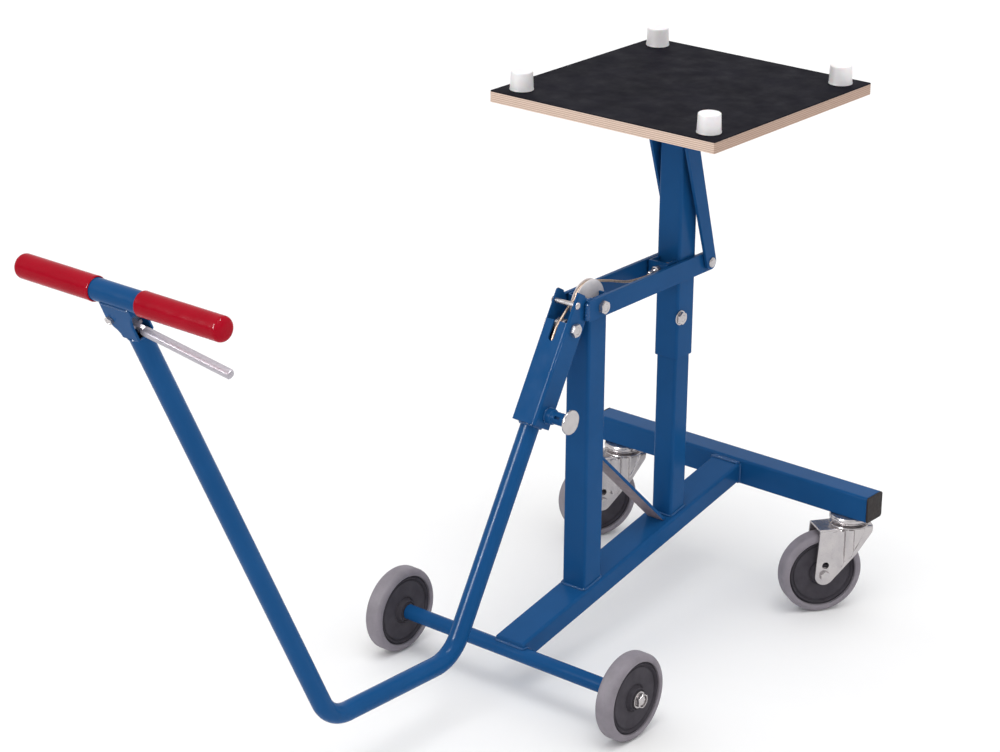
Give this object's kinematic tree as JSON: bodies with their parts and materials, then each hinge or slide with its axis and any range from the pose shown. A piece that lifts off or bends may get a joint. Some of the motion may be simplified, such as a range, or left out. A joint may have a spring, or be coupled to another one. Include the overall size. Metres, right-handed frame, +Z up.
{
  "type": "transmission jack",
  "caption": "Hand-levered lift trolley: a bent drawbar raises a pegged square platform on a sliding column over a wheeled T-shaped frame.",
  "frame": {"origin": "on the floor at the middle of the footprint, under the mid-height of the lever post", "axes": "+X to the user's right, +Y from the T-handle towards the front crossbar, +Z up"},
  "size_m": [0.5204, 1.2883, 0.8249],
  "materials": {
    "blue_powder_coat": "glossy blue powder coat over welded steel",
    "zinc_plate": "bright zinc-plated steel",
    "grey_tyre": "grey thermoplastic rubber tread",
    "dark_rim": "dark grey moulded plastic, satin",
    "black_plastic": "black moulded plastic",
    "red_grip": "glossy red dipped vinyl",
    "dark_film": "dark phenolic film with a fine anti-slip texture",
    "birch_plywood": "bare layered plywood edge",
    "white_peg": "white moulded plastic",
    "steel_cable": "stranded steel wire",
    "bare_alloy": "bare bright alloy"
  },
  "bodies": {
    "chassis": {"chassis_spine": "blue_powder_coat", "front_crossbar": "blue_powder_coat", "crossbar_end_cap_left": "black_plastic", "crossbar_end_cap_right": "black_plastic", "rear_axle": "blue_powder_coat", "rear_axle_nut_left": "zinc_plate", "rear_axle_nut_right": "zinc_plate", "lever_post": "blue_powder_coat", "inner_column": "blue_powder_coat", "column_brace": "blue_powder_coat", "main_pivot_bolt": "zinc_plate", "caster_mount_left": "zinc_plate", "caster_mount_right": "zinc_plate", "release_cable_span": "steel_cable"},
    "lever": {"lever_socket": "blue_powder_coat", "lever_arm_left": "blue_powder_coat", "lever_arm_right": "blue_powder_coat", "lever_cross_pin": "zinc_plate", "socket_bolt": "zinc_plate", "cable_guide_roller": "zinc_plate", "plunger_sleeve": "blue_powder_coat", "drawbar_tube": "blue_powder_coat", "handle_tube": "blue_powder_coat", "grip_left": "red_grip", "grip_right": "red_grip", "handle_bracket": "blue_powder_coat", "hand_lever_bolt": "zinc_plate", "link_lower_pin": "zinc_plate", "release_cable": "steel_cable"},
    "lift_column": {"lift_column": "blue_powder_coat", "platform_carrier": "blue_powder_coat", "platform_board": "birch_plywood", "platform_mat": "dark_film", "platform_peg_1": "white_peg", "platform_peg_2": "white_peg", "platform_peg_3": "white_peg", "platform_peg_4": "white_peg", "lock_housing": "blue_powder_coat", "column_guide_screw": "zinc_plate"},
    "lift_links": {"link_left": "blue_powder_coat", "link_right": "blue_powder_coat", "link_upper_pin_left": "zinc_plate", "link_upper_pin_right": "zinc_plate"},
    "hand_lever": {"hand_lever": "bare_alloy"},
    "index_plunger": {"index_plunger": "zinc_plate"},
    "lock_bolt": {"lock_bolt": "zinc_plate"},
    "cable_sheave": {"cable_sheave": "zinc_plate"},
    "rear_wheel_left": {"rear_tyre_left": "grey_tyre", "rear_rim_left": "dark_rim"},
    "caster_fork_left": {"caster_fork_left": "zinc_plate", "caster_axle_bolt_left": "zinc_plate"},
    "caster_wheel_left": {"caster_tyre_left": "grey_tyre", "caster_rim_left": "dark_rim"},
    "rear_wheel_right": {"rear_tyre_right": "grey_tyre", "rear_rim_right": "dark_rim"},
    "caster_fork_right": {"caster_fork_right": "zinc_plate", "caster_axle_bolt_right": "zinc_plate"},
    "caster_wheel_right": {"caster_tyre_right": "grey_tyre", "caster_rim_right": "dark_rim"}
  },
  "joints": [
    {"name": "lever_pivot", "type": "hinge", "parent": "chassis", "child": "lever", "pos_m": [0.009, 0.232, 0.535], "axis": [1, 0, 0], "range_deg": [-20, 10]},
    {"name": "column_slide", "type": "slide", "parent": "chassis", "child": "lift_column", "axis": [0, 0, 1], "range_m": [-0.0845, 0.0425], "deforming": ["release_cable_span"]},
    {"name": "link_hinge", "type": "hinge", "parent": "lever", "child": "lift_links", "pos_m": [0.009, 0.481, 0.535], "axis": [1, 0, 0], "range_deg": [-9.5, 18.5]},
    {"name": "hand_lever_squeeze", "type": "hinge", "parent": "lever", "child": "hand_lever", "pos_m": [-0.011, -0.61599, 0.75452], "axis": [0, -0.8976, -0.4409], "range_deg": [0, 13], "stiffness_Nm_per_rad": 0.4, "springref_deg": -11.46},
    {"name": "lock_release", "type": "slide", "parent": "lift_column", "child": "lock_bolt", "axis": [0, -1, 0], "range_m": [0, 0.0055]},
    {"name": "cable_sheave_turn", "type": "hinge", "parent": "chassis", "child": "cable_sheave", "pos_m": [0.009, 0.232, 0.535], "axis": [1, 0, 0], "range_deg": [0, 10]},
    {"name": "index_plunger_pull", "type": "slide", "parent": "lever", "child": "index_plunger", "axis": [1, 0, 0], "range_m": [0, 0.008], "stiffness_N_per_m": 800, "springref_m": -0.006},
    {"name": "rear_wheel_spin_left", "type": "hinge", "parent": "chassis", "child": "rear_wheel_left", "pos_m": [-0.197, 0.073, 0.0625], "axis": [1, 0, 0], "continuous": true},
    {"name": "caster_swivel_left", "type": "hinge", "parent": "chassis", "child": "caster_fork_left", "pos_m": [-0.1998, 0.60735, 0.139], "axis": [0, 0, 1], "continuous": true},
    {"name": "caster_wheel_spin_left", "type": "hinge", "parent": "caster_fork_left", "child": "caster_wheel_left", "pos_m": [-0.22018, 0.56914, 0.0625], "axis": [0.8823, -0.4706, 0], "continuous": true},
    {"name": "rear_wheel_spin_right", "type": "hinge", "parent": "chassis", "child": "rear_wheel_right", "pos_m": [0.215, 0.073, 0.0625], "axis": [1, 0, 0], "continuous": true},
    {"name": "caster_swivel_right", "type": "hinge", "parent": "chassis", "child": "caster_fork_right", "pos_m": [0.2178, 0.60735, 0.139], "axis": [0, 0, 1], "continuous": true},
    {"name": "caster_wheel_spin_right", "type": "hinge", "parent": "caster_fork_right", "child": "caster_wheel_right", "pos_m": [0.19299, 0.57186, 0.0625], "axis": [0.8196, -0.5729, 0], "continuous": true}
  ],
  "couplings": [
    {"joint": "column_slide", "follows": "lever_pivot", "m_per_rad": 0.239},
    {"joint": "link_hinge", "follows": "lever_pivot", "ratio": -0.9036},
    {"joint": "lock_release", "follows": "hand_lever_squeeze", "m_per_rad": 0.023},
    {"joint": "cable_sheave_turn", "follows": "hand_lever_squeeze", "ratio": 0.72}
  ]
}
